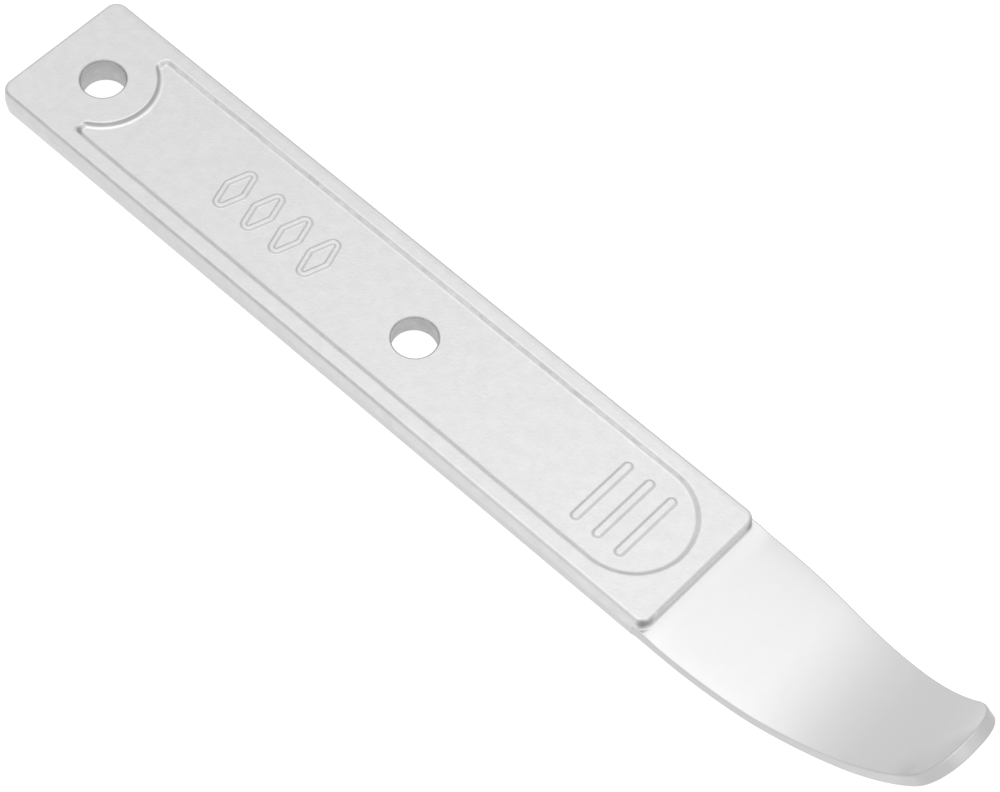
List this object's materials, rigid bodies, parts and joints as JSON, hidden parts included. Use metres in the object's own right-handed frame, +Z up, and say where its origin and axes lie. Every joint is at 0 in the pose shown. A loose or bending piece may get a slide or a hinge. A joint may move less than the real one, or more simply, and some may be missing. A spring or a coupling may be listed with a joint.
{
  "type": "tyre lever",
  "caption": "Forged flat tyre lever with a sunken panel and thumb ribs on the handle, two pin holes, and a thin upturned spoon blade.",
  "frame": {"origin": "on the end hole's axis, at the handle's underside", "axes": "+X along the handle to the blade's tip, +Z up through the end hole, the blade curls towards +Z, Y across the width"},
  "size_m": [0.2291, 0.032, 0.0234],
  "materials": {
    "satin_steel": "blasted and plated, fine satin grain",
    "polished_steel": "smooth, softly polished plating"
  },
  "bodies": {
    "root": {"handle": "satin_steel", "blade": "polished_steel"}
  },
  "joints": []
}
